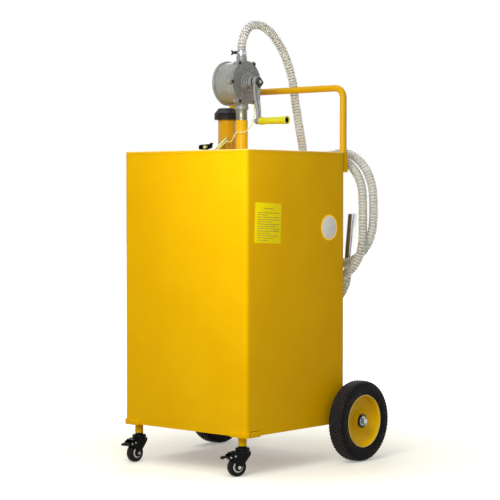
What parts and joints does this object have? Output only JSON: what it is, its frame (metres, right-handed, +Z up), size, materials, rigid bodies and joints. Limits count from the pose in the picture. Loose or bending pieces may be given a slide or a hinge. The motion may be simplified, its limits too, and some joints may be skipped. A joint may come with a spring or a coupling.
{
  "type": "fuel caddy",
  "caption": "Upright square fuel tank on wheels with a hand rotary pump, hung hose and spout, filler cap, push handle and braked casters.",
  "frame": {"origin": "on the floor, under the middle of the caddy without its hose and earth lead", "axes": "+Z up; +Y to the back, where the handle, the hung hose and the big wheels are; -Y to the front, where the casters are; the pump turns about +X"},
  "size_m": [0.571, 0.575, 1.2153],
  "materials": {
    "paint": "gloss yellow powder coat",
    "cast": "satin cast",
    "zinc": "bright zinc",
    "chrome": "polished",
    "black_plastic": "satin black",
    "black_steel": "satin black",
    "light_plastic": "natural",
    "tyre": "matte black",
    "rubber": "matte black",
    "lime_plastic": "fluorescent yellow",
    "hose": "clear, slightly milky vinyl",
    "wire": "yellow-green sleeve"
  },
  "bodies": {
    "caddy": {"axle_bracket_left": "paint", "axle_bracket_right": "paint", "caster_stem_left": "zinc", "caster_stem_right": "zinc", "clip_jaw_lower": "black_steel", "corner_bracket_left": "paint", "corner_bracket_right": "paint", "filler_neck": "paint", "foot_strainer": "black_plastic", "gland_nut": "cast", "ground_hank": "wire", "ground_wire": "wire", "handle_socket_left": "paint", "handle_socket_right": "paint", "handle_tube": "paint", "hose_clamp_pump": "zinc", "hose_coil": "hose", "hose_hook": "paint", "hose_lead": "hose", "outlet_barb": "zinc", "pump_body": "cast", "pump_front_cover": "cast", "pump_nipple": "zinc", "pump_rear_cover": "cast", "pump_riser": "paint", "spout_clamp": "zinc", "spout_tube": "chrome", "suction_tube": "light_plastic", "tank_base": "paint", "tank_shell": "paint", "tank_top": "paint", "wheel_axle": "zinc"},
    "wheel_left": {"wheel_tyre_left": "tyre", "wheel_rim_left": "paint", "wheel_bearing_left": "black_steel"},
    "wheel_right": {"wheel_tyre_right": "tyre", "wheel_rim_right": "paint", "wheel_bearing_right": "black_steel"},
    "caster_fork_left": {"caster_fork_left": "black_steel", "caster_axle_left": "zinc"},
    "caster_fork_right": {"caster_fork_right": "black_steel", "caster_axle_right": "zinc"},
    "caster_wheel_left": {"caster_tread_left": "rubber", "caster_hub_left": "light_plastic"},
    "caster_wheel_right": {"caster_tread_right": "rubber", "caster_hub_right": "light_plastic"},
    "caster_brake_left": {"caster_brake_left": "black_steel"},
    "caster_brake_right": {"caster_brake_right": "black_steel"},
    "pump_crank": {"pump_shaft": "zinc", "pump_rotor": "zinc", "pump_vane_1": "black_plastic", "pump_vane_2": "black_plastic", "crank_arm": "cast", "crank_bolt": "black_steel", "grip_spindle": "zinc"},
    "crank_grip": {"crank_grip": "lime_plastic"},
    "cap_lift": {"cap_gasket": "rubber"},
    "cap": {"filler_cap": "black_plastic"},
    "clip_jaw": {"clip_jaw_upper": "black_steel"}
  },
  "joints": [
    {"name": "wheel_spin_left", "type": "hinge", "parent": "caddy", "child": "wheel_left", "pos_m": [-0.2575, 0.1765, 0.111], "axis": [1, 0, 0], "continuous": true},
    {"name": "caster_swivel_left", "type": "hinge", "parent": "caddy", "child": "caster_fork_left", "pos_m": [-0.19, -0.2255, 0.064], "axis": [0, 0, 1], "continuous": true},
    {"name": "caster_spin_left", "type": "hinge", "parent": "caster_fork_left", "child": "caster_wheel_left", "pos_m": [-0.19, -0.2425, 0.025], "axis": [1, 0, 0], "continuous": true},
    {"name": "caster_brake_left", "type": "hinge", "parent": "caster_fork_left", "child": "caster_brake_left", "pos_m": [-0.19, -0.2595, 0.053], "axis": [1, 0, 0], "range_deg": [0, 4]},
    {"name": "wheel_spin_right", "type": "hinge", "parent": "caddy", "child": "wheel_right", "pos_m": [0.2575, 0.1765, 0.111], "axis": [1, 0, 0], "continuous": true},
    {"name": "caster_swivel_right", "type": "hinge", "parent": "caddy", "child": "caster_fork_right", "pos_m": [0.19, -0.2255, 0.064], "axis": [0, 0, 1], "continuous": true},
    {"name": "caster_spin_right", "type": "hinge", "parent": "caster_fork_right", "child": "caster_wheel_right", "pos_m": [0.18371, -0.2413, 0.025], "axis": [0.9291, -0.3697, 0], "continuous": true},
    {"name": "caster_brake_right", "type": "hinge", "parent": "caster_fork_right", "child": "caster_brake_right", "pos_m": [0.17743, -0.25709, 0.053], "axis": [0.9291, -0.3697, 0], "range_deg": [0, 4]},
    {"name": "pump_crank_turn", "type": "hinge", "parent": "caddy", "child": "pump_crank", "pos_m": [0, -0.0145, 1.041], "axis": [1, 0, 0], "continuous": true},
    {"name": "crank_grip_spin", "type": "hinge", "parent": "pump_crank", "child": "crank_grip", "pos_m": [0.08, -0.0145, 0.934], "axis": [1, 0, 0], "continuous": true},
    {"name": "cap_lift_off", "type": "slide", "parent": "caddy", "child": "cap_lift", "axis": [0, 0, 1], "range_m": [0, 0.08]},
    {"name": "cap_unscrew", "type": "hinge", "parent": "cap_lift", "child": "cap", "pos_m": [-0.1, 0.0355, 0.962], "axis": [0, 0, 1], "continuous": true},
    {"name": "clip_open", "type": "hinge", "parent": "caddy", "child": "clip_jaw", "pos_m": [-0.08889, -0.06398, 0.8563], "axis": [0.0872, -0.9962, 0], "range_deg": [-18, 0], "stiffness_Nm_per_rad": 0.02, "springref_deg": 11.46}
  ]
}
